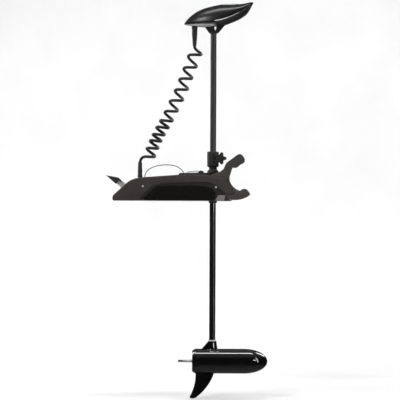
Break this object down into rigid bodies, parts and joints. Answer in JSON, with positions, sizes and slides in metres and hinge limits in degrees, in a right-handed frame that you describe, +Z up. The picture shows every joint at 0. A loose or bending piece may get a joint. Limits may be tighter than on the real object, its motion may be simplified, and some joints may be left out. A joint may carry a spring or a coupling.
{
  "type": "electric trolling motor",
  "caption": "Bow-mount electric trolling motor with a stow-away deck mount, steerable telescoping shaft, control head, coiled cord and bullet-shaped motor pod with skeg.",
  "frame": {"origin": "centre of the deck bolt pattern, on the deck plane", "axes": "+Z up along the shaft, +X towards the stow cradle, +Y to the mount's far side"},
  "size_m": [0.7526, 0.1694, 1.8427],
  "materials": {
    "deck_metal": "satin black",
    "body_plastic": "fine texture",
    "panel_gloss": "polished",
    "trim_grey": "smooth",
    "jaw_plastic": "fine texture",
    "rubber": "matt",
    "bright_steel": "brushed",
    "bearing_plastic": "smooth",
    "alloy": "as cast",
    "shaft_black": "satin",
    "pod_paint": "gloss black",
    "head_plastic": "satin",
    "clear_grey": "satin",
    "board_green": "lacquered",
    "magnet_grey": "sintered",
    "winding": "enamelled wire",
    "cord": "satin jacket",
    "gear_plastic": "smooth",
    "motor_steel": "plated"
  },
  "bodies": {
    "mount": {"base_plate": "deck_metal", "side_rail_left": "deck_metal", "side_rail_right": "deck_metal", "side_cover_left": "body_plastic", "side_cover_right": "body_plastic", "side_panel_left": "panel_gloss", "side_panel_right": "panel_gloss", "corner_trims": "trim_grey", "cradle_jaw_left": "jaw_plastic", "cradle_jaw_right": "jaw_plastic", "cradle_pads": "rubber", "hinge_pins": "bright_steel", "tilt_bushings": "bearing_plastic", "latch_guide": "bearing_plastic", "latch_spring": "bright_steel", "cover_screws": "bright_steel", "rest_bumpers": "rubber", "rest_bars": "bright_steel", "cord_boot_lower": "rubber", "coil_cord_1": "cord", "steering_lead": "cord"},
    "tilt_housing": {"steering_case": "jaw_plastic", "case_lid": "jaw_plastic", "upper_gaiter": "rubber", "lower_bushing": "jaw_plastic", "steering_motor": "motor_steel", "lid_screws": "bright_steel", "sleeve_bearings": "bearing_plastic", "coil_cord_2": "cord"},
    "steering_pinion": {"steering_pinion": "motor_steel"},
    "steering_sleeve": {"steering_sleeve": "alloy", "steering_gear": "gear_plastic"},
    "shaft": {"coil_cord_3": "cord", "shaft_tube": "shaft_black", "head_bracket": "jaw_plastic", "head_lower_shell": "head_plastic", "head_upper_shell": "head_plastic", "head_gasket": "rubber", "control_board": "board_green", "indicator_panel": "clear_grey", "head_screws": "bright_steel", "cord_boot_upper": "rubber", "neck_ring": "clear_grey", "motor_housing": "pod_paint", "nose_cone": "pod_paint", "rear_cap": "pod_paint", "skeg": "pod_paint", "stator_magnets": "magnet_grey", "brush_gear": "winding", "through_bolts": "bright_steel", "bearings_and_seal": "motor_steel"},
    "rotor": {"armature": "winding", "prop_shaft": "bright_steel"},
    "depth_collar": {"collar_clamp": "jaw_plastic", "clamp_nut": "bright_steel"},
    "clamp_knob": {"clamp_knob": "jaw_plastic", "clamp_screw": "bright_steel"},
    "pedal": {"pedal_lever": "bright_steel", "pedal_pad": "rubber"},
    "latch": {"latch_bolt": "bright_steel"}
  },
  "joints": [
    {"name": "tilt", "type": "hinge", "parent": "mount", "child": "tilt_housing", "pos_m": [0.174, 0, 0.081], "axis": [0, -1, 0], "range_deg": [0, 87], "deforming": ["coil_cord_1", "coil_cord_2"]},
    {"name": "steer", "type": "hinge", "parent": "tilt_housing", "child": "steering_sleeve", "pos_m": [0.22, 0, 0.07], "axis": [0, 0, 1], "range_deg": [-450, 450]},
    {"name": "pinion_spin", "type": "hinge", "parent": "tilt_housing", "child": "steering_pinion", "pos_m": [0.1779, 0, 0.098], "axis": [0, 0, 1], "range_deg": [-1125, 1125]},
    {"name": "lift", "type": "slide", "parent": "steering_sleeve", "child": "shaft", "axis": [0, 0, 1], "range_m": [0, 0.623], "deforming": ["coil_cord_3"]},
    {"name": "depth_set", "type": "slide", "parent": "shaft", "child": "depth_collar", "axis": [0, 0, 1], "range_m": [0, 0.48]},
    {"name": "knob_turn", "type": "hinge", "parent": "depth_collar", "child": "clamp_knob", "pos_m": [0.2535, 0, 0.198], "axis": [0, -1, 0], "range_deg": [0, 360]},
    {"name": "rotor_spin", "type": "hinge", "parent": "shaft", "child": "rotor", "pos_m": [0.22, 0, -0.744], "axis": [1, 0, 0], "continuous": true},
    {"name": "pedal_press", "type": "hinge", "parent": "mount", "child": "pedal", "pos_m": [-0.104, 0, 0.067], "axis": [0, -1, 0], "range_deg": [-12, 12]},
    {"name": "latch_slide", "type": "slide", "parent": "mount", "child": "latch", "axis": [-1, 0, 0], "range_m": [-0.0047, 0.0047], "deforming": ["latch_spring"]}
  ],
  "couplings": [
    {"joint": "pinion_spin", "follows": "steer", "ratio": -2.5},
    {"joint": "latch_slide", "follows": "pedal_press", "m_per_rad": 0.022}
  ]
}
